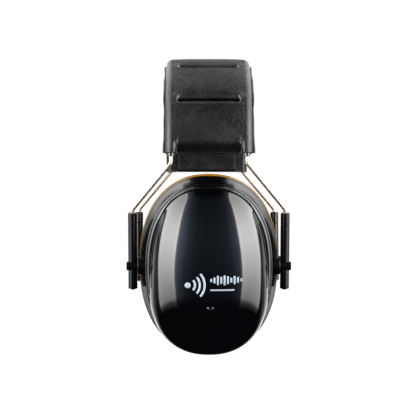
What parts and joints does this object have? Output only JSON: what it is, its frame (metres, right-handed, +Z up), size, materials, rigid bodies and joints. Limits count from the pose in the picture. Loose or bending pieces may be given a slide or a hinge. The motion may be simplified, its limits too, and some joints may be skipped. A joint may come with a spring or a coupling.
{
  "type": "hearing protection earmuffs",
  "caption": "Over-the-head hearing protection earmuffs: oval cups with soft sealing cushions, hung by sliding pivot tubes from a padded spring-wire headband.",
  "frame": {"origin": "middle of the padded headband's underside at the crown, where it rests on a head or a hook", "axes": "+X towards the wearer's face, +Y towards the wearer's left ear, +Z up through the crown"},
  "size_m": [0.0984, 0.1706, 0.1825],
  "materials": {
    "sleeve_leatherette": "grained satin black",
    "soft_foam": "open foam",
    "liner_foam": "open-cell foam",
    "spring_steel": "bright drawn",
    "steel_trim": "plain",
    "bushing_plastic": "gloss",
    "tube_plastic": "semi-gloss",
    "cup_plastic": "high gloss",
    "ring_plastic": "gloss golden yellow",
    "plate_plastic": "matte",
    "cushion_leatherette": "smooth satin black"
  },
  "bodies": {
    "headband": {"crown_front_wire": "spring_steel", "crown_rear_wire": "spring_steel", "crown_sleeve_cover": "sleeve_leatherette", "crown_sleeve_foam": "soft_foam"},
    "band_right": {"right_front_wire": "spring_steel", "right_front_wire_bushing": "bushing_plastic", "right_front_wire_ferrule": "steel_trim", "right_rear_wire": "spring_steel", "right_rear_wire_bushing": "bushing_plastic", "right_rear_wire_ferrule": "steel_trim", "right_sleeve_cover": "sleeve_leatherette", "right_sleeve_foam": "soft_foam"},
    "band_left": {"left_front_wire": "spring_steel", "left_front_wire_bushing": "bushing_plastic", "left_front_wire_ferrule": "steel_trim", "left_rear_wire": "spring_steel", "left_rear_wire_bushing": "bushing_plastic", "left_rear_wire_ferrule": "steel_trim", "left_sleeve_cover": "sleeve_leatherette", "left_sleeve_foam": "soft_foam"},
    "slider_right": {"right_front_pivot_clip": "steel_trim", "right_front_slider_tube": "tube_plastic", "right_front_tube_collar": "tube_plastic", "right_front_tube_plug": "tube_plastic", "right_rear_pivot_clip": "steel_trim", "right_rear_slider_tube": "tube_plastic", "right_rear_tube_collar": "tube_plastic", "right_rear_tube_plug": "tube_plastic"},
    "slider_left": {"left_front_pivot_clip": "steel_trim", "left_front_slider_tube": "tube_plastic", "left_front_tube_collar": "tube_plastic", "left_front_tube_plug": "tube_plastic", "left_rear_pivot_clip": "steel_trim", "left_rear_slider_tube": "tube_plastic", "left_rear_tube_collar": "tube_plastic", "left_rear_tube_plug": "tube_plastic"},
    "cup_right": {"right_cup_ring": "ring_plastic", "right_cup_shell": "cup_plastic", "right_cushion_cover": "cushion_leatherette", "right_cushion_foam": "soft_foam", "right_cushion_plate": "plate_plastic", "right_foam_liner": "liner_foam"},
    "cup_left": {"left_cup_ring": "ring_plastic", "left_cup_shell": "cup_plastic", "left_cushion_cover": "cushion_leatherette", "left_cushion_foam": "soft_foam", "left_cushion_plate": "plate_plastic", "left_foam_liner": "liner_foam"}
  },
  "joints": [
    {"name": "band_flex_right", "type": "hinge", "parent": "headband", "child": "band_right", "pos_m": [0, -0.02794, 0.00136], "axis": [-1, 0, 0], "range_deg": [0, 20], "stiffness_Nm_per_rad": 4},
    {"name": "band_flex_left", "type": "hinge", "parent": "headband", "child": "band_left", "pos_m": [0, 0.0354, -0.00281], "axis": [1, 0, 0], "range_deg": [0, 20], "stiffness_Nm_per_rad": 4},
    {"name": "height_right", "type": "slide", "parent": "band_right", "child": "slider_right", "axis": [0, 0.1736, -0.9848], "range_m": [0, 0.027]},
    {"name": "height_left", "type": "slide", "parent": "band_left", "child": "slider_left", "axis": [0, -0.1736, -0.9848], "range_m": [0, 0.027]},
    {"name": "tilt_right", "type": "hinge", "parent": "slider_right", "child": "cup_right", "pos_m": [0, -0.05463, -0.11792], "axis": [-1, 0, 0], "range_deg": [-12, 12]},
    {"name": "tilt_left", "type": "hinge", "parent": "slider_left", "child": "cup_left", "pos_m": [0, 0.05463, -0.11792], "axis": [1, 0, 0], "range_deg": [-12, 12]}
  ]
}
